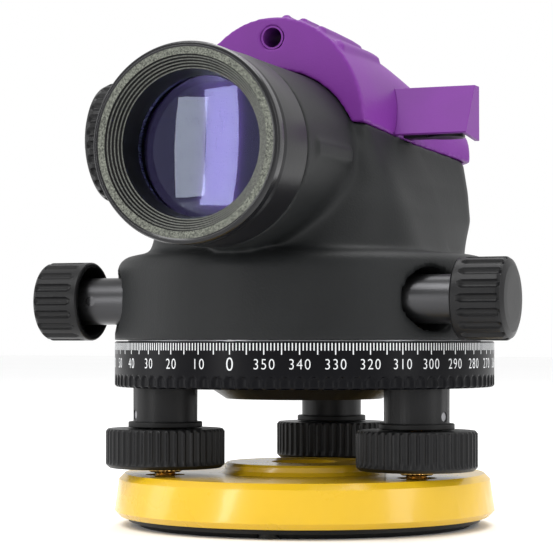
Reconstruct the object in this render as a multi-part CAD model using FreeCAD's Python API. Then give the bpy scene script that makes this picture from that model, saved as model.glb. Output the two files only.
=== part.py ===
import FreeCAD, Part
import math
import os

# Automatic level: a telescope with a compensator on a levelling base. Millimetres, +Z up.
# The origin is the centre of the underside, on the vertical axis. The objective looks along -Y,
# the eyepiece is at +Y, the focusing knob at -X and the bubble hood at +X.

V = FreeCAD.Vector
X, Y, Z = V(1, 0, 0), V(0, 1, 0), V(0, 0, 1)

# --- clearances ---
gap = 0.3                   # between separate bodies
run_fit = 0.05              # radial, shaft in a bearing
joint_line = 0.2            # between two housings of one body

# --- base plate and tripod socket ---
bottom_plate_r = 49.0
bottom_plate_h = 2.7
bottom_plate_step = 3.0
base_r = 53.0
base_h = 11.8
base_edge = 1.6
base_boss_r = 22.3
base_boss_h = 2.9
tripod_r = 7.94             # 5/8 inch tripod screw
tripod_chamfer = 1.2
spring_r = 43.5
spring_t = 0.8
spring_pocket_h = 2.4
base_screw_r = 1.6
base_screw_circle = 46.0

# --- footscrews ---
foot_count = 3
foot_circle = 40.2
foot_turn = 69.68           # degrees from -Y towards +X
foot_ball_r = 4.2
foot_ball_z = 10.2
foot_recess_r = 5.4
foot_stem_r = 3.0
foot_nut_r = 4.5
foot_nut_h = 1.3
foot_nut_teeth = 20
foot_knob_r = 16.3
foot_knob_h = 10.7
foot_knob_z = 16.5
foot_knob_flutes = 46
foot_collar_r = 10.15
foot_collar_h = 1.6
foot_bush_r = 5.6

# --- levelling head and circle ---
housing_r = 8.8
housing_h = 9.4             # free length of a housing below the circle
circle_r = 53.0
circle_h = 12.55
circle_skirt = 2.3
circle_web = 2.2
circle_well_r = 50.4         # the circle's top is sunk inside this radius
circle_well = 1.2
circle_flutes = 90
hub_r = 24.1
disc_r = 27.0
disc_small_r = 21.95
disc_drop = 3.4
arm_w = 15.0
bush_r = 12.0
bush_h = 27.0
bush_seat = 3.85            # bearing bush above the disc's underside
spindle_r = 9.0
spindle_nut_r = 12.0
spindle_nut_h = 2.8

# --- body casting ---
flange_r = 54.0
flange_h = 1.6
drum_r = 53.0
drum_top_r = 52.3
drum_h = 19.7
shoulder_r = 47.0
shoulder_h = 4.0
wall = 3.0
deck_z = 70.8
deck_t = 3.0
deck_hole_r = 27.0
floor_t = 2.6
floor_hole_r = 13.2
floor_screw_circle = 45.0
rear_y = 48.5
front_y = -24.0
parting_z = 109.5           # at the cover's front face
parting_slope = 5.8         # degrees, falling to the rear

# --- tangent drive ---
tangent_y = -25.0
tangent_z = 62.1
tangent_boss_r = 13.0
tangent_recess_r = 8.4
tangent_recess_x = 38.0
tangent_boss_inner_x = 30.0
tangent_shaft_r = 3.0
worm_r = 3.8
worm_l = 16.0
worm_pitch = 1.8
worm_bush_r = 5.0
sleeve_r = 6.5
tangent_knob_r = 10.9
tangent_knob_x = 53.4
tangent_knob_l = 14.3
tangent_cup = 6.0
tangent_cup_wall = 1.5
tangent_flutes = 18
wheel_h = 8.0
wheel_teeth = 72
wheel_tooth_depth = 0.7

# --- telescope ---
axis_z = 99.9
face_y = -81.5
hood_l = 20.5
hood_r = 25.2
face_r = 23.45
stop_r = 18.0
stop_steps = 5
nose_r = 25.0
nose_rear_r = 24.4
nose_bore_r = 21.5
tube_r = 18.5
tube_bore_r = 16.0
tube_rear_y = 12.0
tube_flange_t = 3.0
lens_r = 18.4
side_bar_l = 25.0
side_bar_h = 3.9
side_bar_t = 0.6

# --- focusing ---
focus_y = -15.0
focus_z = 107.0
focus_boss_r = 11.0
focus_boss_x = 39.9
focus_boss_inner_x = 23.5
focus_bush_r = 5.0
focus_shaft_r = 2.0
focus_knob_r = 17.15
focus_knob_l = 14.0
focus_knob_flutes = 28
pinion_r = 3.2
pinion_l = 4.0
pinion_x = 16.5
rack_mesh_gap = 0.25
rack_h = 3.0
rack_l = 30.0
cell_l = 18.0
cell_front_y = -20.0
cell_bore_r = 12.5
focus_travel = 10.0

# --- compensator ---
comp_y = 30.0
comp_plate_x = 17.0
comp_plate_t = 2.5
comp_l = 22.0
comp_floor_z = 80.5
comp_floor_t = 2.5
comp_top_z = 113.5
pivot_z = 110.0
pivot_r = 0.8
pendulum_w = 11.0
pendulum_l = 10.0
pendulum_low_z = 89.0
pendulum_high_z = 106.0
damper_r = 6.0
damper_bore_r = 4.7
damper_h = 4.5
piston_r = 4.2
prism_l = 4.5

# --- eyepiece ---
eye_tube_r = 12.5
eye_tube_bore_r = 10.2
eye_tube_l = 41.0
eye_tube_y = 44.0
flange_eye_r = 18.0
flange_eye_t = 5.0
dioptre_r = 15.2
dioptre_y = 66.0
dioptre_l = 21.0
dioptre_wall = 1.7
dioptre_ribs = 30
eye_lens_r = 8.4
eyecup_r = 16.0
eyecup_l = 16.0
eyecup_bore_r = 9.0
reticle_r = 6.0

# --- cover, hood and bubble ---
cover_wall = 2.4
sight_z = 133.4
sight_r = 2.7
sight_wall = 0.5
rib_count = 4
rib_x = 2.8
rib_pitch = 5.27
rib_w = 1.9
rib_h = 1.2
rib_front_y = -21.0
rib_rear_y = 9.0
bubble_hood_x = 48.6
bubble_hood_t = 1.4
bubble_hood_top = 121.5
bubble_hood_low = 106.3
bubble_hood_rear = 8.7
bubble_hood_depth = 12.9
bubble_hood_lean = 8.7
bubble_x = 39.6
bubble_y = 6.4
bubble_r = 4.3
bubble_cup_r = 5.4
bubble_z = 107.4
bubble_cup_h = 3.6
cover_screw_x = 24.0
cover_screw_y = 38.0
cover_post_r = 4.0

# --- heights and places that follow ---
base_z = bottom_plate_h
base_top = base_z + base_h
boss_top = base_top + base_boss_h
collar_z = foot_knob_z + foot_knob_h + gap
housing_z = collar_z + foot_collar_h
circle_z = housing_z + housing_h
circle_top = circle_z + circle_h
disc_z = circle_z - disc_drop
body_z = circle_top + gap
web_z = circle_top - circle_well - circle_web
shoulder_z = body_z + drum_h
hull_z = shoulder_z + shoulder_h
bush_z = disc_z + bush_seat
wheel_z = tangent_z - wheel_h / 2
wheel_r = abs(tangent_y) - worm_r - gap
spindle_nut_z = disc_z + 0.5
hood_rear_y = face_y + hood_l

# Plan outlines of the hull: height, front, rear, half-widths at front, middle and rear, corner radii.
hull_mid_y = 10.0
hull_plans = [
    (shoulder_z - 2.0, -45.0, rear_y - 1.0, 40.0, 38.0, 34.0, 33.0, 14.0),
    (hull_z + 3.0, -43.0, rear_y - 0.3, 38.5, 37.0, 35.6, 30.0, 14.0),
    (hull_z + 11.0, -35.0, rear_y, 35.5, 37.0, 37.7, 20.0, 14.0),
    (hull_z + 19.0, -28.0, rear_y, 31.5, 35.0, 37.9, 12.0, 14.0),
    (hull_z + 28.0, front_y, rear_y - 0.2, 27.8, 31.2, 37.4, 4.0, 13.0),
    (hull_z + 36.0, front_y, rear_y - 0.5, 26.0, 28.8, 36.4, 3.0, 12.0),
]
# Cover sections: station along Y, centre height, half-width, height above the centre.
cover_sections = [
    (front_y, 107.5, 26.7, 31.6),
    (hull_mid_y, 106.4, 29.4, 30.3),
    (28.0, 104.4, 33.6, 26.2),
    (40.0, 103.1, 36.6, 22.0),
    (rear_y - 0.3, 102.2, 38.2, 17.6),
]
cover_stations = 4          # ruled strips between two given sections
cover_corner_r = 12.0


def cyl(r, h, base, direction=Z):
    return Part.makeCylinder(r, h, base, direction)


def tube(r_out, r_in, h, base, direction=Z):
    over = direction * 1.0
    return cyl(r_out, h, base, direction).cut(cyl(r_in, h + 2.0, base - over, direction))


def box(x0, x1, y0, y1, z0, z1):
    return Part.makeBox(x1 - x0, y1 - y0, z1 - z0, V(x0, y0, z0))


def lathe(points, base=V(0, 0, 0), direction=Z):
    """Turn a closed outline of (radius, height) points about an axis."""
    wire = Part.makePolygon([V(r, 0, h) for r, h in points + points[:1]])
    solid = Part.Face(wire).revolve(V(0, 0, 0), Z, 360)
    solid.Placement = FreeCAD.Placement(base, FreeCAD.Rotation(Z, direction))
    return solid


def spin_copies(tool, count, centre, direction):
    """Copies of a tool, evenly round an axis."""
    copies = []
    for i in range(count):
        copy = tool.copy()
        copy.rotate(centre, direction, 360.0 * i / count)
        copies.append(copy)
    return copies


def fluted(blank, groove_r, radius, length, start, centre, direction, side, count):
    """Cut round-bottomed flutes into a turned blank."""
    groove = cyl(groove_r, length, start + side * radius, direction)
    return blank.cut(spin_copies(groove, count, centre, direction))


def screw(r, length, head_r, head_h, base, direction=Z):
    """A screw whose thread starts at base and whose head lies beyond its length."""
    head = cyl(head_r, head_h, base + direction * length, direction)
    slot_w = head_r * 0.3
    slot = box(-head_r, head_r, -slot_w / 2, slot_w / 2, head_h * 0.55, head_h + 1.0)
    slot.Placement = FreeCAD.Placement(base + direction * length, FreeCAD.Rotation(Z, direction))
    return cyl(r, length, base, direction).fuse(head).cut(slot)


def on_circle(radius, count, first):
    """Points round the vertical axis, with angles from -Y towards +X."""
    steps = [math.radians(first + 360.0 * i / count) for i in range(count)]
    return [V(radius * math.sin(a), -radius * math.cos(a), 0) for a in steps]


def parting_at(y):
    return parting_z - (y - front_y) * math.tan(math.radians(parting_slope))


def below_parting(offset):
    """A block that ends at the parting plane, raised by offset."""
    y0, y1, deep = -120.0, 120.0, -50.0
    outline = [V(-90, y0, deep), V(-90, y1, deep), V(-90, y1, parting_at(y1) + offset),
               V(-90, y0, parting_at(y0) + offset), V(-90, y0, deep)]
    return Part.Face(Part.makePolygon(outline)).extrude(V(180, 0, 0))


def corner(a, b, c, radius):
    """Tangent points and mid point of the arc that rounds the corner b."""
    to_a = (a - b).normalize()
    to_c = (c - b).normalize()
    half = to_a.getAngle(to_c) / 2
    reach = radius / math.tan(half)
    middle = (to_a + to_c).normalize()
    centre = b + middle * (radius / math.sin(half))
    return b + to_a * reach, centre - middle * radius, b + to_c * reach


def plan_wire(z, front, rear, w_front, w_mid, w_rear, r_front, r_rear, inset=0.0):
    """Closed plan outline of the hull at one height, with rounded corners."""
    front, rear = front + inset, rear - inset
    w_front, w_mid, w_rear = w_front - inset, w_mid - inset, w_rear - inset
    r_front, r_rear = max(r_front - inset, 1.0), max(r_rear - inset, 1.0)
    start = V(0, front, z)
    a, b = V(w_front, front, z), V(w_mid, hull_mid_y, z)
    c = V(w_rear, rear, z)
    f1, fm, f2 = corner(start, a, b, r_front)
    r1, rm, r2 = corner(b, c, V(0, rear, z), r_rear)
    half = [("line", start, f1), ("arc", f1, fm, f2), ("line", f2, b), ("line", b, r1),
            ("arc", r1, rm, r2), ("line", r2, V(0, rear, z))]
    mirrored = []
    for piece in reversed(half):
        mirrored.append((piece[0],) + tuple(V(-p.x, p.y, p.z) for p in reversed(piece[1:])))
    edges = []
    for piece in half + mirrored:
        if piece[0] == "line":
            edges.append(Part.LineSegment(piece[1], piece[2]).toShape())
        else:
            edges.append(Part.Arc(piece[1], piece[2], piece[3]).toShape())
    return Part.Wire(edges)


def hull_loft(inset):
    wires = [plan_wire(*plan, inset=inset) for plan in hull_plans]
    return Part.makeLoft(wires, True, True)


def cover_station(position):
    """Section values at a fractional place in the list, on a smooth curve through the list."""
    last = len(cover_sections) - 1
    i = min(int(position), last - 1)
    t = position - i
    before, after = max(i - 1, 0), min(i + 2, last)
    values = []
    for k in range(4):
        p0, p1 = cover_sections[i][k], cover_sections[i + 1][k]
        m0 = (p1 - cover_sections[before][k]) / (i + 1 - before)
        m1 = (cover_sections[after][k] - p0) / (after - i)
        values.append((2 * t**3 - 3 * t**2 + 1) * p0 + (t**3 - 2 * t**2 + t) * m0
                      + (3 * t**2 - 2 * t**3) * p1 + (t**3 - t**2) * m1)
    return values


def cover_section(y, centre_z, half_w, rise, low):
    """An arch of half an ellipse on two straight legs, closed below."""
    count = 16
    angles = [math.pi * k / count for k in range(count + 1)]
    points = [V(half_w * math.cos(a), y, centre_z + rise * math.sin(a)) for a in angles]
    arch = Part.BSplineCurve()
    arch.interpolate(points)
    right, left = points[0], points[-1]
    return Part.Wire([arch.toShape(), Part.makeLine(left, V(left.x, y, low)),
                      Part.makeLine(V(left.x, y, low), V(right.x, y, low)),
                      Part.makeLine(V(right.x, y, low), right)])


def cover_loft(grow, inset=0.0):
    """The cover's form above a low flat bottom, grown or shrunk, with rounded rear corners."""
    wires = []
    low = parting_at(rear_y) - 6.0
    count = (len(cover_sections) - 1) * cover_stations
    for i in range(count + 1):
        y, centre_z, half_w, rise = cover_station(i / cover_stations)
        if i == 0:
            y = y + inset
        wires.append(cover_section(y, centre_z, half_w + grow, rise + grow, low))
    w = hull_plans[-1][5] + 0.6
    outline = plan_wire(low - 1.0, front_y - 20.0, rear_y - 0.5, w, w, w, 2.0, cover_corner_r, inset)
    return Part.makeLoft(wires, True, True).common(Part.Face(outline).extrude(Z * 80.0))


# --- base -------------------------------------------------------------------------------------

def foot_points():
    return on_circle(foot_circle, foot_count, foot_turn)


def bottom_plate():
    plate = lathe([(0, 0), (bottom_plate_r - bottom_plate_step, 0),
                   (bottom_plate_r - bottom_plate_step / 2, bottom_plate_h * 0.45),
                   (bottom_plate_r, bottom_plate_h * 0.5), (bottom_plate_r, bottom_plate_h),
                   (0, bottom_plate_h)])
    plate = plate.cut(cyl(tripod_r, bottom_plate_h * 3, V(0, 0, -1)))
    for p in on_circle(base_screw_circle, foot_count, foot_turn + 60.0):
        plate = plate.cut(cyl(base_screw_r, bottom_plate_h * 3, p - Z))
        plate = plate.cut(cyl(base_screw_r * 1.8, bottom_plate_h * 0.5 + 1.0, p - Z))
    return plate


def bottom_screws():
    down = V(0, 0, -1)
    length = bottom_plate_h * 0.5 + 5.0
    return [screw(base_screw_r, length, base_screw_r * 1.7, bottom_plate_h * 0.4,
                  p + Z * (bottom_plate_h * 0.5 + length), down)
            for p in on_circle(base_screw_circle, foot_count, foot_turn + 60.0)]


def base_plate():
    e = base_edge
    top_r = base_r - 1.2
    plate = lathe([(0, base_z), (base_r - e, base_z), (base_r, base_z + e), (top_r, base_top - e),
                   (top_r - e, base_top), (base_boss_r + 1.0, base_top),
                   (base_boss_r, base_top + 1.0), (base_boss_r, boss_top - 0.6),
                   (base_boss_r - 0.6, boss_top), (0, boss_top)])
    plate = plate.cut(cyl(tripod_r, boss_top + 2, V(0, 0, -1)))
    mouth = Part.makeCone(tripod_r, tripod_r + tripod_chamfer, tripod_chamfer,
                          V(0, 0, boss_top - tripod_chamfer))
    plate = plate.cut(mouth)
    pocket = cyl(spring_r + gap, spring_pocket_h, V(0, 0, base_z))
    plate = plate.cut(pocket.cut(cyl(base_boss_r - 6.0, spring_pocket_h * 3, V(0, 0, 0))))
    for p in foot_points():
        plate = plate.cut(cyl(foot_recess_r, base_h + 2, p + Z * (base_z + spring_pocket_h - 0.5)))
    for p in on_circle(base_screw_circle, foot_count, foot_turn + 60.0):
        plate = plate.cut(cyl(base_screw_r, 5.2, p + Z * base_z))
    return plate


def spring_plate():
    z = base_z + spring_pocket_h - spring_t
    ring = tube(spring_r, base_boss_r - 5.0, spring_t, V(0, 0, z))
    for p in on_circle(foot_circle * 0.86, foot_count, foot_turn + 60.0):
        ring = ring.cut(cyl(9.0, spring_t + 2, p + Z * (z - 1)))
    return ring


def footscrew_stem(p):
    top = web_z - 2.0
    z0 = base_z + spring_pocket_h
    ball = Part.makeSphere(foot_ball_r, p + Z * (z0 + foot_ball_r))
    rod = cyl(foot_stem_r, top - z0 - foot_ball_r, p + Z * (z0 + foot_ball_r))
    return ball.fuse(rod)


def footscrew_nut(p):
    z = foot_knob_z - foot_nut_h
    blank = tube(foot_nut_r, foot_stem_r, foot_nut_h, p + Z * z)
    return fluted(blank, 0.35, foot_nut_r, foot_nut_h + 2, p + Z * (z - 1), p, Z, X, foot_nut_teeth)


def footscrew_knob(p):
    z0, z1, r = foot_knob_z, foot_knob_z + foot_knob_h, foot_knob_r
    blank = lathe([(foot_stem_r, z0), (r - 2.2, z0), (r - 0.6, z0 + 1.0), (r, z0 + 2.2),
                   (r, z1 - 2.2), (r - 0.6, z1 - 1.0), (r - 2.2, z1), (foot_stem_r, z1)], p)
    return fluted(blank, 0.45, r, foot_knob_h - 4.6, p + Z * (z0 + 2.3), p, Z, X, foot_knob_flutes)


def footscrew_collars():
    return [tube(foot_collar_r, foot_stem_r + 1.0, foot_collar_h, p + Z * collar_z)
            for p in foot_points()]


def footscrew_bushes():
    z0 = housing_z
    h = web_z - 1.2 - z0
    return [tube(foot_bush_r, foot_stem_r + run_fit, h, p + Z * z0) for p in foot_points()]


def levelling_head():
    arm_z = circle_z + 0.4
    arm_top = web_z - gap
    hub = lathe([(bush_r, disc_z), (disc_small_r, disc_z), (disc_r, circle_z), (disc_r, arm_top),
                 (hub_r, arm_top), (hub_r, circle_top - 0.4), (bush_r, circle_top - 0.4)])
    hub = hub.cut(cyl(spindle_nut_r + 1.2, bush_seat + 1.0, V(0, 0, disc_z - 1.0)))
    for p in foot_points():
        turn = math.degrees(math.atan2(p.y, p.x))
        arm = box(bush_r + 2.0, foot_circle, -arm_w / 2, arm_w / 2, arm_z, arm_top - 0.5)
        arm.rotate(V(0, 0, 0), Z, turn)
        hub = hub.fuse(arm).fuse(cyl(housing_r, arm_top - 0.5 - housing_z, p + Z * housing_z))
    for p in foot_points():
        hub = hub.cut(cyl(foot_bush_r, 60.0, p + Z * (housing_z - 1)))
    hub = hub.cut(cyl(bush_r, 60.0, V(0, 0, bush_z)))
    for p, way in housing_screw_places():
        hub = hub.cut(cyl(1.3, housing_r, p, way))
    return hub.removeSplitter()


def housing_screw_places():
    """A point just inside each housing's skin and the outward direction there."""
    places = []
    for p in foot_points():
        way = V(p).normalize()
        way = FreeCAD.Rotation(Z, 5.0).multVec(way)
        places.append((p + way * (foot_bush_r + 0.4) + Z * (housing_z + housing_h * 0.2), way))
    return places


def housing_setscrews():
    return [cyl(1.3, housing_r - foot_bush_r - 0.7, p, way) for p, way in housing_screw_places()]


def bearing_bush():
    return tube(bush_r, spindle_r + run_fit, bush_h, V(0, 0, bush_z))


def clutch_spring():
    z = wheel_z - gap - 1.0
    return tube(bush_r + 4.0, bush_r, 1.0, V(0, 0, z))


def horizontal_circle():
    r = circle_r
    skirt_in = r - circle_skirt
    well_z = circle_top - circle_well
    solid = lathe([(hub_r + run_fit, web_z), (skirt_in, web_z),
                   (skirt_in, circle_z + 0.6), (skirt_in + 0.6, circle_z), (r - 0.3, circle_z),
                   (r, circle_z + 0.3), (r, circle_top - 0.3), (r - 0.3, circle_top),
                   (circle_well_r, circle_top), (circle_well_r, well_z), (hub_r + run_fit, well_z)])
    start = V(0, 0, circle_z - 1)
    return fluted(solid, 0.7, r + 0.3, 4.2, start, V(0, 0, 0), Z, X, circle_flutes)


# --- body -------------------------------------------------------------------------------------

def along_telescope(r, y0, y1):
    return cyl(r, y1 - y0, V(0, y0, axis_z), Y)


def tangent_end(side):
    """Direction that leaves the body on one side of the tangent screw."""
    return X * side


def body_outer():
    drum = lathe([(0, body_z), (flange_r, body_z), (flange_r, body_z + flange_h * 0.6),
                  (drum_r, body_z + flange_h), (drum_top_r, shoulder_z),
                  (drum_top_r - 0.8, shoulder_z + shoulder_h * 0.45),
                  (drum_top_r - 2.4, shoulder_z + shoulder_h * 0.8),
                  (shoulder_r, hull_z), (0, hull_z)])
    hull = hull_loft(0.0).common(below_parting(0.0))
    nose = Part.makeCone(nose_r, nose_rear_r, front_y - hood_rear_y + 4.0,
                         V(0, hood_rear_y, axis_z), Y)
    solid = drum.fuse([hull, nose])
    focus_base = V(-focus_boss_inner_x, focus_y, focus_z)
    solid = solid.fuse(cyl(focus_boss_r, focus_boss_x - focus_boss_inner_x, focus_base, X * -1))
    bar_y = hood_rear_y + 6.0
    bar = box(nose_r - 3.0, nose_r + side_bar_t, bar_y, bar_y + side_bar_l,
              axis_z - side_bar_h / 2, axis_z + side_bar_h / 2)
    return solid.fuse(bar)


def body_cavity():
    """Space inside the casting, with the walls' thickness left on every side."""
    drum = cyl(drum_top_r - wall, deck_z - body_z + 1.0, V(0, 0, body_z - 1.0))
    for side in (-1, 1):
        base = V(side * tangent_boss_inner_x, tangent_y, tangent_z)
        drum = drum.cut(cyl(tangent_boss_r, 40.0, base, tangent_end(side)))
    hull = hull_loft(wall).common(box(-80, 80, -80, 80, deck_z + deck_t, 200))
    hull = hull.cut(focus_boss_blank(0.0))
    for side in (-1, 1):
        hull = hull.cut(cover_post(side))
    return [drum, hull]


def focus_boss_blank(extra):
    length = focus_boss_x - focus_boss_inner_x
    base = V(-focus_boss_inner_x, focus_y, focus_z)
    return cyl(focus_boss_r + extra, length + 2 * extra, base + X * extra, X * -1)


def cover_post(side):
    return cyl(cover_post_r, 80.0, V(side * cover_screw_x, cover_screw_y, deck_z))


def body_casting():
    solid = body_outer().cut(body_cavity())
    tools = [cyl(deck_hole_r, 20.0, V(0, 0, deck_z - 5.0)),
             along_telescope(nose_bore_r, hood_rear_y - 1.0, front_y + wall + 3.0),
             along_telescope(eye_tube_r, rear_y - 8.0, rear_y + 5.0),
             along_telescope(flange_eye_r + joint_line, rear_y - 1.5, rear_y + 5.0),
             cyl(focus_bush_r, 60.0, V(0, focus_y, focus_z), X * -1)]
    for side in (-1, 1):
        way = tangent_end(side)
        tools.append(cyl(worm_bush_r, 60.0, V(0, tangent_y, tangent_z), way))
        tools.append(cyl(tangent_recess_r, 30.0, V(side * tangent_recess_x, tangent_y, tangent_z), way))
        tools.append(cyl(1.25, 14.0, V(side * cover_screw_x, cover_screw_y,
                                       parting_at(cover_screw_y) - 12.0)))
    for p in on_circle(floor_screw_circle, 4, 45.0):
        solid = solid.fuse(cyl(5.0, deck_z - body_z - floor_t, p + Z * (body_z + floor_t)))
        tools.append(cyl(1.5, 9.0, p + Z * body_z))
    tools.append(cyl(drum_top_r - wall + joint_line, floor_t, V(0, 0, body_z)))
    tools.append(box(-90, 90, -90, 90, 0, body_z))
    return solid.cut(tools)


def floor_plate():
    plate = tube(drum_top_r - wall, floor_hole_r, floor_t, V(0, 0, body_z))
    lip = tube(drum_top_r - wall, drum_top_r - wall - 1.5, 1.2, V(0, 0, body_z - 1.0))
    plate = plate.fuse(lip)
    for p in on_circle(floor_screw_circle, 4, 45.0):
        plate = plate.cut(cyl(1.5, 9.0, p + Z * (body_z - 1)))
        plate = plate.cut(cyl(2.9, floor_t * 0.55, p + Z * body_z))
    return plate


def floor_screws():
    down = V(0, 0, -1)
    length = 6.0
    head_h = floor_t * 0.5
    return [screw(1.5, length, 2.7, head_h, p + Z * (body_z + head_h + length), down)
            for p in on_circle(floor_screw_circle, 4, 45.0)]


def spindle():
    low = spindle_nut_z
    plate = cyl(deck_hole_r + 5.0, 3.0, V(0, 0, deck_z - 3.0))
    rod = cyl(spindle_r, deck_z - 3.0 - low, V(0, 0, low))
    return plate.fuse(rod)


def spindle_nut():
    return tube(spindle_nut_r, spindle_r, spindle_nut_h, V(0, 0, spindle_nut_z))


def worm_wheel():
    bore = bush_r + run_fit
    blank = tube(wheel_r, bore, wheel_h, V(0, 0, wheel_z))
    return fluted(blank, wheel_tooth_depth * 0.75, wheel_r + 0.1, wheel_h + 2, V(0, 0, wheel_z - 1),
                  V(0, 0, 0), Z, X, wheel_teeth)


# --- tangent drive ----------------------------------------------------------------------------

def worm_shaft():
    end = tangent_knob_x + tangent_knob_l * 0.6
    rod = cyl(tangent_shaft_r, 2 * end, V(-end, tangent_y, tangent_z), X)
    half = worm_l / 2
    profile = [(tangent_shaft_r * 0.5, -half)]
    turns = int(worm_l / worm_pitch)
    for i in range(turns):
        at = -half + i * worm_pitch
        profile += [(worm_r - 0.5, at), (worm_r, at + worm_pitch * 0.3),
                    (worm_r, at + worm_pitch * 0.7)]
    profile += [(worm_r - 0.5, -half + turns * worm_pitch), (tangent_shaft_r * 0.5,
                                                             -half + turns * worm_pitch)]
    worm = lathe(profile, V(0, tangent_y, tangent_z), X)
    return rod.fuse(worm)


def worm_bushes():
    length = tangent_recess_x - tangent_boss_inner_x
    return [tube(worm_bush_r, tangent_shaft_r + run_fit, length,
                 V(side * tangent_boss_inner_x, tangent_y, tangent_z), tangent_end(side))
            for side in (-1, 1)]


def tangent_sleeves():
    start = tangent_recess_x + 2 * gap
    length = tangent_knob_x + tangent_cup + 3.0 - start
    return [tube(sleeve_r, tangent_shaft_r, length, V(side * start, tangent_y, tangent_z),
                 tangent_end(side)) for side in (-1, 1)]


def tangent_knob(side):
    way = tangent_end(side)
    base = V(side * tangent_knob_x, tangent_y, tangent_z)
    r, l, cup = tangent_knob_r, tangent_knob_l, tangent_cup
    blank = lathe([(r - tangent_cup_wall, 0), (r - 0.8, 0), (r, 0.8), (r, l - 2.6),
                   (r - 0.6, l - 1.2), (r - 2.0, l - 0.4), (r - 5.0, l), (0, l),
                   (0, l * 0.6), (tangent_shaft_r, l * 0.6), (tangent_shaft_r, cup + 3.0),
                   (sleeve_r, cup + 3.0), (sleeve_r, cup), (r - tangent_cup_wall, cup)], base, way)
    return fluted(blank, 1.0, r + 0.45, l - 5.0, base + way * 2.0, base, way, Z, tangent_flutes)


def sleeve_setscrews():
    screws = []
    for side in (-1, 1):
        start = V(side * (tangent_knob_x - 2.2), tangent_y + side * tangent_shaft_r, tangent_z)
        screws.append(cyl(1.4, sleeve_r - tangent_shaft_r - 0.6, start, Y * side))
    return screws


def sleeves_with_holes():
    solids = []
    for side, sleeve in zip((-1, 1), tangent_sleeves()):
        start = V(side * (tangent_knob_x - 2.2), tangent_y + side * tangent_shaft_r, tangent_z)
        solids.append(sleeve.cut(cyl(1.4, 30.0, start, Y * side)))
    return solids


# --- telescope --------------------------------------------------------------------------------

def objective_hood():
    """Barrel with a rounded rim, a flat grained face and fine steps down to the stop."""
    r, l = hood_r, hood_l
    step = (face_r - 3.3 - stop_r) / stop_steps
    inner = [(face_r - 3.3, 0.2)]
    for i in range(stop_steps):
        radius = face_r - 3.3 - step * i
        inner += [(radius, 1.2 * (i + 1)), (radius - step, 1.2 * (i + 1))]
    inner += [(stop_r, l - 9.0), (lens_r, l - 9.0)]
    rim = [(face_r, 0.2), (face_r + 0.7, 0.0), (r - 0.7, 0.3), (r, 1.3), (r, 4.0),
           (r - 0.4, 5.0), (r - 0.1, l - 1.0), (r - 0.4, l)]
    body = rim + [(lens_r + 2.0, l), (lens_r + 2.0, l - 1.0), (lens_r, l - 1.0)]
    return lathe(body + inner[::-1], V(0, face_y, axis_z), Y)


def retaining_ring():
    return tube(lens_r, lens_r - 2.2, 1.6, V(0, face_y + hood_l - 2.6, axis_z), Y)


def objective_lenses():
    """Crown and flint, cemented, held between the stop and the retaining ring."""
    front = face_y + hood_l - 9.0
    r = lens_r
    crown = lathe([(0, -1.0), (r * 0.55, -0.7), (r * 0.97, 0.0), (r, 0.0), (r, 2.6),
                   (r * 0.6, 3.6), (0, 4.0)], V(0, front, axis_z), Y)
    flint = lathe([(0, 4.0), (r * 0.6, 3.6), (r, 2.6), (r, 6.4), (0, 6.4)],
                  V(0, front, axis_z), Y)
    return [crown, flint]


def guide_tube():
    front = hood_rear_y + 0.5
    body = tube(tube_r, tube_bore_r, tube_rear_y - front, V(0, front, axis_z), Y)
    body = body.fuse(tube(nose_bore_r, tube_bore_r, tube_flange_t, V(0, front, axis_z), Y))
    low = rack_top() - rack_h
    slot = box(-30.0, -12.0, cell_front_y - 6.0 - focus_travel - 1.0,
               cell_front_y - 6.0 + rack_l + focus_travel + 1.0, low - gap, axis_z + 12.0)
    return body.cut(slot)


def rack_top():
    return focus_z - pinion_r - rack_mesh_gap


def lens_cell():
    r = tube_bore_r - run_fit
    body = tube(r, cell_bore_r, cell_l, V(0, cell_front_y, axis_z), Y)
    rack_y = cell_front_y - 6.0
    rack = box(-pinion_x - pinion_l, -cell_bore_r - 1.0, rack_y, rack_y + rack_l,
               rack_top() - rack_h, rack_top())
    return body.fuse(rack.cut(along_telescope(cell_bore_r + 0.5, -90.0, 60.0)))


def focusing_lens():
    r = cell_bore_r
    middle = cell_front_y + cell_l / 2
    return lathe([(0, -0.8), (r * 0.6, -1.3), (r, -2.4), (r, 2.4), (r * 0.6, 1.3), (0, 0.8)],
                 V(0, middle, axis_z), Y)


def focus_shaft():
    length = focus_boss_x + gap + focus_knob_l * 0.7 - pinion_x
    rod = cyl(focus_shaft_r, length, V(-pinion_x, focus_y, focus_z), X * -1)
    blank = cyl(pinion_r, pinion_l, V(-pinion_x, focus_y, focus_z), X * -1)
    pinion = fluted(blank, 0.4, pinion_r, pinion_l + 2, V(-pinion_x + 1, focus_y, focus_z),
                    V(0, focus_y, focus_z), X * -1, Z, 14)
    return rod.fuse(pinion)


def focus_bush():
    return tube(focus_bush_r, focus_shaft_r + run_fit, focus_boss_x - focus_boss_inner_x,
                V(-focus_boss_inner_x, focus_y, focus_z), X * -1)


def focus_knob():
    way = X * -1
    base = V(-focus_boss_x - gap, focus_y, focus_z)
    r, l = focus_knob_r, focus_knob_l
    blank = lathe([(focus_shaft_r, 0), (r - 1.6, 0), (r, 1.4), (r, l - 3.0), (r - 0.7, l - 1.3),
                   (r - 2.4, l - 0.3), (r - 5.0, l), (0, l), (0, l * 0.7),
                   (focus_shaft_r, l * 0.7)], base, way)
    return fluted(blank, 1.1, r + 0.5, l - 4.5, base + way * 2.2, base, way, Z, focus_knob_flutes)


# --- compensator ------------------------------------------------------------------------------

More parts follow.
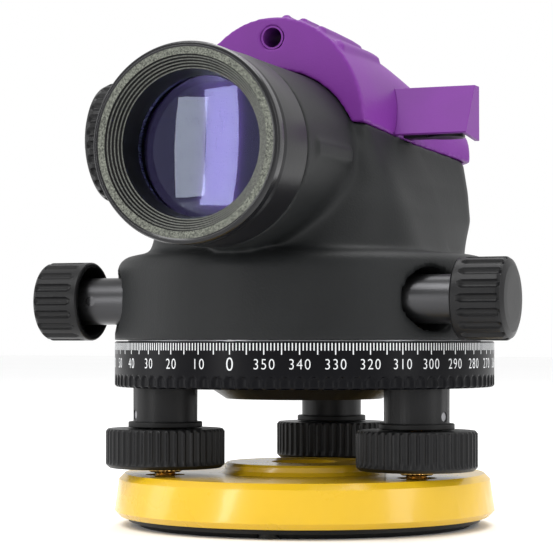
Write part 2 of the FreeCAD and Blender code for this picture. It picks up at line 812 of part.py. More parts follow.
def compensator_frame():
    x, t, half = comp_plate_x, comp_plate_t, comp_l / 2
    y0, y1 = comp_y - half, comp_y + half
    floor_top = comp_floor_z + comp_floor_t
    frame = box(-x - t, x + t, y0, y1, comp_floor_z, floor_top)
    for side in (-1, 1):
        x0, x1 = sorted((side * x, side * (x + t)))
        frame = frame.fuse(box(x0, x1, y0, y1, floor_top, comp_top_z))
        frame = frame.fuse(cyl(3.0, comp_floor_z - deck_z - deck_t,
                               V(side * (x + t - 3.0), comp_y, deck_z + deck_t)))
        frame = frame.cut(cyl(pivot_r + run_fit, t + 2, V(side * (x - 1), comp_y, pivot_z), X * side))
    return frame


def pendulum():
    w, half = pendulum_w, pendulum_l / 2
    block = box(-w, w, comp_y - half, comp_y + half, pendulum_low_z, pendulum_high_z)
    block = block.cut(along_telescope(7.0, comp_y - half - 1, comp_y - 1.5))
    block = block.cut(along_telescope(7.0, comp_y + 1.5, comp_y + half + 1))
    for side in (-1, 1):
        x0, x1 = sorted((side * (w - 2.0), side * w))
        block = block.fuse(box(x0, x1, comp_y - 2, comp_y + 2, pendulum_high_z, pivot_z + 2.0))
    pin = cyl(pivot_r, 2 * (comp_plate_x + comp_plate_t - 0.2),
              V(-comp_plate_x - comp_plate_t + 0.2, comp_y, pivot_z), X)
    floor_top = comp_floor_z + comp_floor_t
    piston = cyl(piston_r, pendulum_low_z - floor_top - 1.2, V(0, comp_y, floor_top + 1.2))
    return block.fuse([pin, piston])


def damper_cup():
    z = comp_floor_z + comp_floor_t
    return tube(damper_r, damper_bore_r, damper_h, V(0, comp_y, z))


def fixed_prisms():
    z0, z1 = axis_z - 9.0, axis_z + 9.0
    x = comp_plate_x
    low = comp_y - comp_l / 2
    high = comp_y + comp_l / 2
    prisms = []
    for y0, y1 in ((low, low + prism_l), (high, high - prism_l)):
        outline = [V(-x, y0, z0), V(-x, y1, z0), V(-x, (y0 + 2 * y1) / 3, z1), V(-x, y0, z1),
                   V(-x, y0, z0)]
        prisms.append(Part.Face(Part.makePolygon(outline)).extrude(X * (2 * x)))
    return prisms


# --- eyepiece ---------------------------------------------------------------------------------

def eyepiece_tube():
    return tube(eye_tube_r, eye_tube_bore_r, eye_tube_l, V(0, eye_tube_y, axis_z), Y)


def eyepiece_flange():
    y = rear_y - 1.5
    r = flange_eye_r
    return lathe([(eye_tube_r, 0), (r, 0), (r, flange_eye_t - 1.2), (r - 1.2, flange_eye_t),
                  (eye_tube_r, flange_eye_t)], V(0, y, axis_z), Y)


def reticle_cell():
    return tube(eye_tube_bore_r, reticle_r, 4.0, V(0, eye_tube_y + 2.0, axis_z), Y)


def reticle_glass():
    glass = cyl(reticle_r, 1.6, V(0, eye_tube_y + 3.2, axis_z), Y)
    line = 0.12
    back = eye_tube_y + 3.2
    tools = [box(-reticle_r, reticle_r, back - 1, back + 0.1, axis_z - line, axis_z + line),
             box(-line, line, back - 1, back + 0.1, axis_z - reticle_r, axis_z + reticle_r)]
    return glass.cut(tools)


def dioptre_ring():
    """Outer sleeve and inner lens barrel, joined at the back."""
    r_sleeve = eye_tube_r + run_fit
    r_barrel = eye_tube_bore_r - run_fit
    l, r = dioptre_l, dioptre_r
    blank = lathe([(r_sleeve, 0), (r - 0.8, 0), (r, 0.8), (r, l - 0.8), (r - 0.8, l),
                   (eye_lens_r, l), (eye_lens_r, 0), (r_barrel, 0), (r_barrel, l - dioptre_wall),
                   (r_sleeve, l - dioptre_wall)], V(0, dioptre_y, axis_z), Y)
    return fluted(blank, 0.5, r + 0.1, l - 6.0, V(0, dioptre_y + 3.0, axis_z),
                  V(0, 0, axis_z), Y, Z, dioptre_ribs)


def eyepiece_lenses():
    r = eye_lens_r
    lenses = []
    for start in (2.0, dioptre_l - 6.0):
        outline = [(0, 0), (r, 0.6), (r, 3.0), (r * 0.6, 4.0), (0, 4.4)]
        lenses.append(lathe(outline, V(0, dioptre_y + start, axis_z), Y))
    return lenses


def eyecup():
    r, l, bore = eyecup_r, eyecup_l, eyecup_bore_r
    return lathe([(bore, 0), (dioptre_r - 1.0, 0), (dioptre_r - 1.4, l * 0.25),
                  (dioptre_r - 2.0, l * 0.5), (r - 0.6, l * 0.85), (r, l - 0.5), (r - 1.0, l),
                  (r - 2.4, l - 0.8), (bore + 1.0, l * 0.45), (bore, l * 0.35)],
                 V(0, dioptre_y + dioptre_l, axis_z), Y)


# --- cover, sight, hood and bubble ------------------------------------------------------------

def cover_outer():
    above = cover_loft(0.0).cut(below_parting(joint_line))
    ribs = []
    raised = cover_loft(rib_h)
    for i in range(rib_count):
        x = rib_x + rib_pitch * i
        bar = box(x - rib_w / 2, x + rib_w / 2, rib_front_y, rib_rear_y, axis_z + 15.0, 200.0)
        ribs.append(bar.common(raised))
    return above.fuse(ribs)


def cover():
    inside = cover_loft(-cover_wall, cover_wall)
    for side in (-1, 1):
        inside = inside.cut(cover_post(side))
    solid = cover_outer().cut(inside)
    tools = [along_telescope(nose_rear_r + joint_line, front_y - 5.0, front_y + 30.0),
             along_telescope(flange_eye_r + joint_line, rear_y - 6.0, rear_y + 5.0),
             focus_boss_blank(joint_line), vial_arm(),
             cyl(sight_r + sight_wall, 80.0, V(0, front_y - 5.0, sight_z), Y)]
    for side in (-1, 1):
        p = V(side * cover_screw_x, cover_screw_y, parting_at(cover_screw_y))
        tools.append(cyl(1.4, 30.0, p - Z))
        tools.append(cyl(3.0, 30.0, p + Z * cover_head_z()))
    solid = solid.cut(tools)
    return max(solid.Solids, key=lambda s: s.Volume)


def cover_head_z():
    """Seat of a cover screw's head above the parting plane."""
    return 8.0


def cover_screws():
    down = V(0, 0, -1)
    length = cover_head_z() + 8.0
    solids = []
    for side in (-1, 1):
        top = V(side * cover_screw_x, cover_screw_y, parting_at(cover_screw_y) + cover_head_z())
        thread = cyl(1.25, length, top, down)
        head = cyl(2.7, 2.4, top)
        socket = cyl(1.3, 1.4, top + Z * 1.2)
        solids.append(thread.fuse(head).cut(socket))
    return solids


def sight_tube():
    pipe = tube(sight_r + sight_wall, sight_r, 70.0, V(0, front_y, sight_z), Y)
    return max(pipe.common(cover_loft(0.0)).Solids, key=lambda s: s.Volume)


def hood_outline(inset):
    """Side view of the bubble hood: vertical rear, leaning front plate."""
    rear, low, top = bubble_hood_rear, bubble_hood_low, bubble_hood_top
    front = rear - bubble_hood_depth
    lip = low + 1.6
    return rear, front + inset, low, lip, top - inset, front + bubble_hood_lean + inset


def hood_prism(x0, x1, inset, reach):
    rear, front, low, lip, top, top_front = hood_outline(inset)
    points = [(top_front, top), (rear + reach, top), (rear + reach, low - reach),
              (front + 0.8, lip - 0.9 - reach), (front, lip)]
    wire = Part.makePolygon([V(x0, y, z) for y, z in points + points[:1]])
    return Part.Face(wire).extrude(X * (x1 - x0))


def mirror_hood():
    start = 15.0
    solid = hood_prism(start, bubble_hood_x, 0.0, 0.0)
    inner = hood_prism(start - 1.0, bubble_hood_x - bubble_hood_t, bubble_hood_t, 4.0)
    solid = solid.cut([inner, cover_loft(0.0), below_parting(joint_line)])
    return max(solid.Solids, key=lambda s: s.Volume)


def hood_mirror():
    """Flat mirror glued to the back of the leaning front plate."""
    t = bubble_hood_t
    outer = hood_prism(bubble_x - 6.0, bubble_hood_x - t - 0.8, t, 0.0)
    front = hood_prism(bubble_x - 7.0, bubble_hood_x, t + 0.9, 8.0)
    plate = outer.cut(front)
    low = bubble_z + bubble_cup_h + 0.6
    return plate.common(box(0, 80, -20, 20, low, bubble_hood_top - t - 1.0))


def vial_arm():
    return box(26.0, bubble_x - bubble_cup_r + 1.0, bubble_y - 3.0, bubble_y + 3.0,
               bubble_z, bubble_z + 1.8)


def vial_holder():
    base = V(bubble_x, bubble_y, bubble_z)
    cup = cyl(bubble_cup_r, bubble_cup_h, base)
    cup = cup.fuse(vial_arm())
    return cup.cut(cyl(bubble_r, bubble_cup_h, base + Z * 1.2))


def vial():
    base = V(bubble_x, bubble_y, bubble_z + 1.2)
    return lathe([(0, 0), (bubble_r, 0), (bubble_r, bubble_cup_h - 1.2),
                  (bubble_r * 0.6, bubble_cup_h - 0.8), (0, bubble_cup_h - 0.6)], base)


def export(name, shape):
    """Write one node; a list becomes a group of separate solids."""
    if isinstance(shape, list):
        shape = Part.makeCompound(shape)
    shape.exportStep("parts/" + name + ".step")
    solids = len(shape.Solids)
    print(name, solids, round(shape.Volume, 1), shape.isValid())


NODES = {
    "bottom_plate": bottom_plate, "bottom_screws": bottom_screws, "base_plate": base_plate,
    "spring_plate": spring_plate, "levelling_head": levelling_head,
    "footscrew_bushes": footscrew_bushes, "footscrew_collars": footscrew_collars,
    "housing_setscrews": housing_setscrews, "bearing_bush": bearing_bush,
    "clutch_spring": clutch_spring, "horizontal_circle": horizontal_circle,
    "body_casting": body_casting, "floor_plate": floor_plate, "floor_screws": floor_screws,
    "spindle": spindle, "spindle_nut": spindle_nut, "worm_wheel": worm_wheel,
    "worm_shaft": worm_shaft, "worm_bushes": worm_bushes, "tangent_sleeves": sleeves_with_holes,
    "tangent_knob_left": lambda: tangent_knob(-1), "tangent_knob_right": lambda: tangent_knob(1),
    "sleeve_setscrews": sleeve_setscrews, "objective_hood": objective_hood,
    "retaining_ring": retaining_ring, "objective_lenses": objective_lenses,
    "guide_tube": guide_tube, "lens_cell": lens_cell, "focusing_lens": focusing_lens,
    "focus_shaft": focus_shaft, "focus_bush": focus_bush, "focus_knob": focus_knob,
    "compensator_frame": compensator_frame, "pendulum": pendulum, "damper_cup": damper_cup,
    "fixed_prisms": fixed_prisms, "eyepiece_tube": eyepiece_tube,
    "eyepiece_flange": eyepiece_flange, "reticle_cell": reticle_cell,
    "reticle_glass": reticle_glass, "dioptre_ring": dioptre_ring,
    "eyepiece_lenses": eyepiece_lenses, "eyecup": eyecup, "cover": cover,
    "cover_screws": cover_screws, "sight_tube": sight_tube, "mirror_hood": mirror_hood,
    "hood_mirror": hood_mirror, "vial_holder": vial_holder, "vial": vial,
}

os.makedirs("parts", exist_ok=True)
for node, make in NODES.items():
    export(node, make())
for number, point in enumerate(foot_points(), start=1):
    export("footscrew_stem_%d" % number, footscrew_stem(point))
    export("footscrew_nut_%d" % number, footscrew_nut(point))
    export("footscrew_knob_%d" % number, footscrew_knob(point))
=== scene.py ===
import math

import bmesh
import bpy
import numpy as np
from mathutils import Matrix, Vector


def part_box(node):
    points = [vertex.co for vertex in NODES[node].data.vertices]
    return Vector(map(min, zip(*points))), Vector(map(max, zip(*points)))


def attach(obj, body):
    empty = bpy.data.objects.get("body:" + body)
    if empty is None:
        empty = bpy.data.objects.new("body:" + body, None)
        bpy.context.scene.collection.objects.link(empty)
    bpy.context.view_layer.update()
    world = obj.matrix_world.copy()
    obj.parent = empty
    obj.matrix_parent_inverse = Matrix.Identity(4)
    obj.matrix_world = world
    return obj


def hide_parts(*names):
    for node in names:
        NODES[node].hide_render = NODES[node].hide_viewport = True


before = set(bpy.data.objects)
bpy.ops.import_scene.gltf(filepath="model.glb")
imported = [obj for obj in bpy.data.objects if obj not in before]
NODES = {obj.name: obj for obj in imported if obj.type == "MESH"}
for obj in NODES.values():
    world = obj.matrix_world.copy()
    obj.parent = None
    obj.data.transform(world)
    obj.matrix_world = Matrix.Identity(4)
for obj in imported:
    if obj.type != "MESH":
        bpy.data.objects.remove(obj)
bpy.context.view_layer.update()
MM = 0.001
DEGREES = 360
CIRCLE_FLUTES = 90
KNOB_FLUTES = 46
TANGENT_FLUTES = 18
FOCUS_FLUTES = 28
DIOPTRE_FLUTES = 30
HOOD_RINGS = 5
RING_WIDTH = 0.65
RING_DEPTH = 0.72
FACE_R = 23.7
FACE_INNER_R = 21.9
AXES = {"x": Vector((1, 0, 0)), "-x": Vector((-1, 0, 0)), "y": Vector((0, 1, 0)),
        "z": Vector((0, 0, 1))}


# --- materials --------------------------------------------------------------------------------

def socket(node, name, value):
    node.inputs[name].default_value = value


def grained(name, colour, roughness, grain=0.0, grain_scale=1500.0, metallic=0.0, coat=0.0,
            variation=0.12, mottle_scale=60.0, rough_spread=0.06, specular=0.5, streak=None):
    """A painted, moulded or turned surface: fine bump, colour drift and uneven gloss."""
    mat = bpy.data.materials.new(name)
    mat.use_nodes = True
    tree = mat.node_tree
    nodes, links = tree.nodes, tree.links
    shader = nodes["Principled BSDF"]
    socket(shader, "Metallic", metallic)
    socket(shader, "Specular IOR Level", specular)
    socket(shader, "Coat Weight", coat)
    socket(shader, "Coat Roughness", 0.12)
    where = nodes.new("ShaderNodeTexCoord")
    mapping = nodes.new("ShaderNodeMapping")
    links.new(where.outputs["Object"], mapping.inputs["Vector"])
    if streak:
        socket(mapping, "Scale", streak)
    drift = nodes.new("ShaderNodeTexNoise")
    socket(drift, "Scale", mottle_scale)
    socket(drift, "Detail", 5.0)
    links.new(mapping.outputs["Vector"], drift.inputs["Vector"])
    ramp = nodes.new("ShaderNodeValToRGB")
    dark = [c * (1 - variation) for c in colour]
    light = [min(1.0, c * (1 + variation)) for c in colour]
    ramp.color_ramp.elements[0].color = (*dark, 1)
    ramp.color_ramp.elements[1].color = (*light, 1)
    ramp.color_ramp.elements[0].position = 0.3
    ramp.color_ramp.elements[1].position = 0.7
    links.new(drift.outputs["Fac"], ramp.inputs["Fac"])
    links.new(ramp.outputs["Color"], shader.inputs["Base Color"])
    gloss = nodes.new("ShaderNodeMapRange")
    socket(gloss, "To Min", max(0.02, roughness - rough_spread))
    socket(gloss, "To Max", min(1.0, roughness + rough_spread))
    links.new(drift.outputs["Fac"], gloss.inputs["Value"])
    links.new(gloss.outputs["Result"], shader.inputs["Roughness"])
    if grain > 0:
        fine = nodes.new("ShaderNodeTexNoise")
        socket(fine, "Scale", grain_scale)
        socket(fine, "Detail", 2.0)
        links.new(mapping.outputs["Vector"], fine.inputs["Vector"])
        bump = nodes.new("ShaderNodeBump")
        socket(bump, "Strength", grain)
        socket(bump, "Distance", 0.0002)
        links.new(fine.outputs["Fac"], bump.inputs["Height"])
        links.new(bump.outputs["Normal"], shader.inputs["Normal"])
    return mat


def clear_glass(name, tint, gloss_roughness=0.02, ior=1.7):
    """Coated glass: see-through without bending light, with a tinted Fresnel reflection."""
    mat = bpy.data.materials.new(name)
    mat.use_nodes = True
    tree = mat.node_tree
    nodes, links = tree.nodes, tree.links
    nodes.remove(nodes["Principled BSDF"])
    through = nodes.new("ShaderNodeBsdfTransparent")
    socket(through, "Color", (0.93, 0.95, 1.0, 1))
    mirror = nodes.new("ShaderNodeBsdfGlossy")
    socket(mirror, "Roughness", gloss_roughness)
    where = nodes.new("ShaderNodeTexCoord")
    cloud = nodes.new("ShaderNodeTexNoise")
    socket(cloud, "Scale", 40.0)
    links.new(where.outputs["Object"], cloud.inputs["Vector"])
    ramp = nodes.new("ShaderNodeValToRGB")
    ramp.color_ramp.elements[0].color = (*[c * 0.9 for c in tint], 1)
    ramp.color_ramp.elements[1].color = (*tint, 1)
    links.new(cloud.outputs["Fac"], ramp.inputs["Fac"])
    links.new(ramp.outputs["Color"], mirror.inputs["Color"])
    fresnel = nodes.new("ShaderNodeFresnel")
    socket(fresnel, "IOR", ior)
    mix = nodes.new("ShaderNodeMixShader")
    links.new(fresnel.outputs["Fac"], mix.inputs["Fac"])
    links.new(through.outputs["BSDF"], mix.inputs[1])
    links.new(mirror.outputs["BSDF"], mix.inputs[2])
    links.new(mix.outputs["Shader"], nodes["Material Output"].inputs["Surface"])
    return mat


def coated_surface(name, colour, tint):
    """Dark glass under a bright coating, which tints what it reflects."""
    mat = grained(name, colour, 0.10, variation=0.3, mottle_scale=30.0, rough_spread=0.02,
                  specular=1.0)
    shader = mat.node_tree.nodes["Principled BSDF"]
    socket(shader, "IOR", 1.5)
    socket(shader, "Specular Tint", (*tint, 1))
    return mat


def materials():
    """One entry for each finish on the instrument."""
    m = {}
    m["body"] = grained("body_paint", (0.010, 0.0108, 0.0112), 0.50, 0.35, 1700, variation=0.15,
                        specular=0.16)
    m["cover"] = grained("purple_paint", (0.132, 0.023, 0.200), 0.45, 0.22, 1500, variation=0.06,
                         specular=0.15)
    m["yellow"] = grained("yellow_paint", (0.60, 0.37, 0.010), 0.28, 0.08, 420, coat=0.2,
                          variation=0.03, specular=0.35)
    m["knob"] = grained("moulded_black", (0.007, 0.007, 0.0075), 0.40, 0.20, 2200, variation=0.2,
                        specular=0.18)
    m["circle"] = grained("circle_black", (0.003, 0.003, 0.004), 0.30, 0.10, 1800, variation=0.15,
                          specular=0.07)
    m["pin"] = grained("zinc_pin", (0.26, 0.26, 0.27), 0.4, 0.05, 900, metallic=1.0)
    m["mark"] = grained("mark_white", (0.62, 0.63, 0.64), 0.5, 0.0, variation=0.05)
    m["barrel"] = grained("barrel_satin", (0.005, 0.005, 0.006), 0.33, 0.10, 1500, variation=0.2,
                          specular=0.2)
    m["rim"] = grained("rim_gloss", (0.004, 0.004, 0.005), 0.22, 0.05, 900, coat=0.1,
                       specular=0.25)
    m["face"] = grained("face_grain", (0.092, 0.097, 0.080), 0.62, 1.0, 2600, variation=0.9,
                        mottle_scale=2800.0, specular=0.3)
    m["step"] = grained("inner_black", (0.006, 0.006, 0.006), 0.45, 0.3, 2600, variation=0.4,
                        specular=0.25)
    m["ridge"] = grained("step_edge", (0.060, 0.063, 0.053), 0.5, 0.5, 2600, variation=0.6,
                         mottle_scale=2400.0)
    m["crown"] = clear_glass("crown_glass", (0.75, 0.85, 1.0), 0.02, 1.32)
    m["flint"] = coated_surface("flint_glass", (0.001, 0.001, 0.004), (0.15, 0.06, 0.36))
    m["plate"] = grained("base_black", (0.006, 0.006, 0.006), 0.5, 0.2, 1200, specular=0.2)
    m["dark_metal"] = grained("dark_satin_metal", (0.045, 0.045, 0.047), 0.33, 0.08, 900,
                              metallic=0.9, streak=(0.15, 4.0, 4.0))
    m["steel"] = grained("turned_steel", (0.48, 0.48, 0.49), 0.3, 0.05, 900, metallic=1.0)
    m["brass"] = grained("turned_brass", (0.70, 0.43, 0.13), 0.28, 0.08, 900, metallic=1.0,
                         streak=(1.0, 1.0, 8.0))
    m["aluminium"] = grained("machined_aluminium", (0.56, 0.56, 0.58), 0.35, 0.05, 900,
                             metallic=1.0)
    m["rubber"] = grained("eyecup_rubber", (0.018, 0.018, 0.018), 0.7, 0.3, 1400)
    m["mirror"] = grained("silvered_mirror", (0.9, 0.9, 0.92), 0.05, 0.0, metallic=1.0,
                          variation=0.02, rough_spread=0.02)
    m["glass"] = clear_glass("coated_glass", (0.50, 0.58, 0.95), ior=1.28)
    m["vial"] = clear_glass("vial_glass", (0.9, 0.95, 0.85), 0.03, 1.45)
    return m


M = materials()


# --- mesh helpers -----------------------------------------------------------------------------

def piece(name, verts, faces, mat, body, smooth_angle=35.0):
    """A new mesh piece in metres, shaded smooth except at sharp angles."""
    mesh = bpy.data.meshes.new(name)
    mesh.from_pydata([tuple(v) for v in verts], [], faces)
    return finish_piece(name, mesh, mat, body, smooth_angle)


def finish_piece(name, mesh, mat, body, smooth_angle=35.0):
    bm = bmesh.new()
    bm.from_mesh(mesh)
    bmesh.ops.recalc_face_normals(bm, faces=bm.faces)
    bm.to_mesh(mesh)
    bm.free()
    mesh.shade_smooth()
    mesh.set_sharp_from_angle(angle=math.radians(smooth_angle))
    obj = bpy.data.objects.new(name, mesh)
    bpy.context.scene.collection.objects.link(obj)
    if not mesh.materials:
        mesh.materials.append(mat)
    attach(obj, body)
    return obj


def rounded(points, steps=4):
    """Outline of (radius, height, corner radius) with each corner turned into a small arc."""
    out = []
    n = len(points)
    for i, (r, h, c) in enumerate(points):
        p = Vector((r, h))
        a = Vector(points[i - 1][:2]) - p
        b = Vector(points[(i + 1) % n][:2]) - p
        if c <= 0 or a.length < 1e-9 or b.length < 1e-9:
            out.append((r, h))
            continue
        angle = a.angle(b)
        reach = min(c / math.tan(angle / 2), a.length * 0.49, b.length * 0.49)
        a, b = p + a.normalized() * reach, p + b.normalized() * reach
        for k in range(steps + 1):
            t = k / steps
            q = a.lerp(p, t).lerp(p.lerp(b, t), t)
            out.append((q.x, q.y))
    return out


def turned(outline, centre, axis, segments=128, shape=None):
    """Vertices and faces of an outline in mm turned about an axis; shape(r, h, angle) bends r."""
    turn = Vector((0, 0, 1)).rotation_difference(AXES[axis])
    verts, faces = [], []
    n = len(outline)
    for k in range(segments):
        a = 2 * math.pi * k / segments
        for r, h in outline:
            rr = shape(r, h, a) if shape else r
            v = Vector((rr * math.cos(a), rr * math.sin(a), h))
            verts.append(centre + (turn @ v) * MM)
    for k in range(segments):
        after = (k + 1) % segments
        for i in range(n):
            j = (i + 1) % n
            if outline[i][0] < 1e-6 and outline[j][0] < 1e-6:
                continue
            faces.append((k * n + i, after * n + i, after * n + j, k * n + j))
    return verts, faces


def merged(name, verts, faces, mat, body, smooth_angle=35.0):
    """As piece(), with vertices that meet on the axis joined."""
    obj = piece(name, verts, faces, mat, body, smooth_angle)
    bm = bmesh.new()
    bm.from_mesh(obj.data)
    bmesh.ops.remove_doubles(bm, verts=bm.verts, dist=2e-6)
    bmesh.ops.dissolve_degenerate(bm, edges=bm.edges, dist=1e-7)
    bmesh.ops.recalc_face_normals(bm, faces=bm.faces)
    bm.to_mesh(obj.data)
    bm.free()
    obj.data.set_sharp_from_angle(angle=math.radians(smooth_angle))
    return obj


def lathe(name, outline, centre, axis, mat, body, segments=128, shape=None):
    verts, faces = turned(outline, centre, axis, segments, shape)
    return merged(name, verts, faces, mat, body)


def flutes(count, depth, h0, h1, outer, width=0.5, blend=1.4):
    """Radius rule for round-bottomed flutes between two heights, with rounded ends."""
    def rule(r, h, a):
        if r < outer - depth * 3:
            return r
        along = min(max((h - h0) / blend, 0.0), 1.0) * min(max((h1 - h) / blend, 0.0), 1.0)
        along = math.sqrt(along)
        phase = (a * count / (2 * math.pi)) % 1.0
        off = abs(phase - 0.5) / (width / 2)
        cut = math.sqrt(max(0.0, 1.0 - off * off)) if off < along else 0.0
        return min(r, outer - depth * cut * along) if cut > 0 else r
    return rule


def replace(obj, *nodes):
    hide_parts(*nodes)
    return obj


def softened(node, mat, body, bevel=0.25, segments=2, angle=32.0):
    """A copy of a CAD node's form with its edges broken."""
    mesh = NODES[node].data.copy()
    mesh.materials.clear()
    bm = bmesh.new()
    bm.from_mesh(mesh)
    bmesh.ops.remove_doubles(bm, verts=bm.verts, dist=1e-6)
    bmesh.ops.dissolve_limit(bm, angle_limit=math.radians(1.0), verts=bm.verts, edges=bm.edges)
    bm.to_mesh(mesh)
    bm.free()
    obj = finish_piece(node + "_finish", mesh, mat, body)
    mod = obj.modifiers.new("edges", "BEVEL")
    mod.width = bevel * MM
    mod.segments = segments
    mod.limit_method = "ANGLE"
    mod.angle_limit = math.radians(angle)
    mod.harden_normals = True
    return replace(obj, node)


def relaxed(node, name, mat, body, voxel, weight, rounds, light_rounds=2, trim=None):
    """A cast form: the node remeshed fine, then relaxed where weight() says so."""
    source = NODES[node].data.copy()
    obj = bpy.data.objects.new(name + "_work", source)
    bpy.context.scene.collection.objects.link(obj)
    mod = obj.modifiers.new("skin", "REMESH")
    mod.mode = "VOXEL"
    mod.voxel_size = voxel * MM
    graph = bpy.context.evaluated_depsgraph_get()
    mesh = bpy.data.meshes.new_from_object(obj.evaluated_get(graph))
    bpy.data.objects.remove(obj)
    mesh.name = name
    count = len(mesh.vertices)
    co = np.empty(count * 3)
    mesh.vertices.foreach_get("co", co)
    co = co.reshape(-1, 3)
    ends = np.empty(len(mesh.edges) * 2, dtype=np.int64)
    mesh.edges.foreach_get("vertices", ends)
    a, b = ends[0::2], ends[1::2]
    degree = np.bincount(np.concatenate((a, b)), minlength=count).astype(float)
    degree[degree == 0] = 1

    def step(amount):
        nonlocal co
        total = np.empty_like(co)
        for k in range(3):
            total[:, k] = (np.bincount(a, co[b, k], count) + np.bincount(b, co[a, k], count))
        co = co + (total / degree[:, None] - co) * amount

    pull = weight(co / MM)[:, None] * 0.6
    for _ in range(rounds):
        step(pull)
    for _ in range(light_rounds):
        step(0.5)
    if trim:
        co = trim(co / MM) * MM
    mesh.vertices.foreach_set("co", co.ravel())
    mesh.materials.clear()
    return replace(finish_piece(name, mesh, mat, body, 60.0), node)


# --- levelling base ---------------------------------------------------------------------------

def base_parts():
    softened("base_plate", M["yellow"], "base", 0.9, 4)
    softened("bottom_plate", M["plate"], "base", 0.3, 2)
    softened("levelling_head", M["knob"], "base", 0.3, 2)
    softened("footscrew_collars", M["plate"], "base", 0.35, 3)
    for n in (1, 2, 3):
        foot = "footscrew_%d" % n
        footscrew_knob(n, foot)
        stem_thread(n, foot)
        brass_nut(n, foot)


def footscrew_knob(n, foot):
    node = "footscrew_knob_%d" % n
    lo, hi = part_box(node)
    centre = Vector(((lo[0] + hi[0]) / 2, (lo[1] + hi[1]) / 2, lo[2]))
    r = (hi[0] - lo[0]) / 2 / MM
    h = (hi[2] - lo[2]) / MM
    outline = rounded([(3.0, 0.0, 0), (r - 1.0, 0.0, 0.5), (r, 0.9, 0.5), (r, h - 0.7, 0.4),
                       (r - 0.6, h, 0.3), (3.0, h, 0)])
    dense = subdivided(outline, 0.8)
    obj = lathe(node + "_fluted", dense, centre, "z", M["knob"], foot,
                KNOB_FLUTES * 12, flutes(KNOB_FLUTES, 0.6, 1.1, h + 2.0, r, 0.74, 0.9))
    replace(obj, node)


def subdivided(outline, step):
    """Outline with long straight stretches split, so that a radius rule can bend them."""
    out = []
    n = len(outline)
    for i, (r, h) in enumerate(outline):
        r2, h2 = outline[(i + 1) % n]
        out.append((r, h))
        if abs(h2 - h) > step and i < n - 1:
            parts = int(abs(h2 - h) / step) + 1
            out += [(r + (r2 - r) * k / parts, h + (h2 - h) * k / parts) for k in range(1, parts)]
    return out


def stem_thread(n, foot):
    """The brass screw: ball foot and a fine helical thread."""
    node = "footscrew_stem_%d" % n
    lo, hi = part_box(node)
    centre = Vector(((lo[0] + hi[0]) / 2, (lo[1] + hi[1]) / 2, lo[2]))
    ball = (hi[0] - lo[0]) / 2 / MM
    r, pitch = 2.98, 0.7
    top = (hi[2] - lo[2]) / MM
    outline = [(0.0, 0.0)] + [(ball * math.sin(a), ball - ball * math.cos(a))
                              for a in [math.pi * k / 14 for k in range(1, 11)]]
    height = outline[-1][1]
    outline.append((2.5, height + 0.4))
    rows = int((top - height - 1.0) / (pitch / 6))
    outline += [(r, height + 0.6 + i * pitch / 6) for i in range(rows)]
    outline += [(r - 0.5, top), (0.0, top)]

    def thread(rr, h, a):
        if rr != r:
            return rr
        wave = ((h / pitch - a / (2 * math.pi)) % 1.0)
        return r - 0.35 * abs(2 * wave - 1)
    obj = lathe(node + "_thread", outline, centre, "z", M["brass"], foot, 40, thread)
    replace(obj, node)


def brass_nut(n, foot):
    node = "footscrew_nut_%d" % n
    lo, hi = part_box(node)
    centre = Vector(((lo[0] + hi[0]) / 2, (lo[1] + hi[1]) / 2, lo[2]))
    r = (hi[0] - lo[0]) / 2 / MM
    h = (hi[2] - lo[2]) / MM
    outline = rounded([(3.0, 0, 0), (r - 0.5, 0, 0.1), (r, 0.35, 0.1), (r, h - 0.2, 0.1),
                       (r - 0.3, h, 0.1), (3.0, h, 0)], 2)

    def teeth(rr, height, a):
        return rr - (0.55 * (0.5 + 0.5 * math.cos(a * 20)) if rr > r - 0.7 else 0.0)
    obj = lathe(node + "_teeth", outline, centre, "z", M["brass"], foot, 160, teeth)
    replace(obj, node)


# --- graduated circle -------------------------------------------------------------------------

def circle_parts():
    lo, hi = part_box("horizontal_circle")
    z0, z1 = lo[2] / MM, hi[2] / MM
    r = (hi[0] - lo[0]) / 2 / MM
    inner, hole = r - 2.3, 24.16
    well = z1 - 1.2
    web = well - 2.2
    outline = rounded([(hole, web, 0), (inner, web, 0.3), (inner, z0 + 0.5, 0.2),
                       (inner + 0.5, z0, 0.2), (r - 0.5, z0, 0.3), (r, z0 + 0.5, 0.3),
                       (r, z1 - 0.35, 0.2), (r - 0.35, z1, 0.2), (r - 2.6, z1, 0.1),
                       (r - 2.6, well, 0), (hole, well, 0)], 2)
    dense = subdivided(outline, 0.35)
    top = z0 + 3.35

    def flute(rr, z, a):
        if rr < r - 0.6 or z > top:
            return rr
        phase = (a * CIRCLE_FLUTES / (2 * math.pi)) % 1.0
        off = abs(phase - 0.5) / 0.36
        if off > 1:
            return rr
        arch = top - 1.3 * (1 - math.sqrt(1 - off * off))
        depth = min(1.0, max(0.0, (arch - z) / 0.25))
        return rr - 0.55 * depth * math.sqrt(max(0.0, 1 - off * off * 0.8))
    centre = Vector((0, 0, 0))
    obj = lathe("circle_band", dense, centre, "z", M["circle"], "circle",
                CIRCLE_FLUTES * 12, flute)
    replace(obj, "horizontal_circle")
    circle_marks(r, z1)


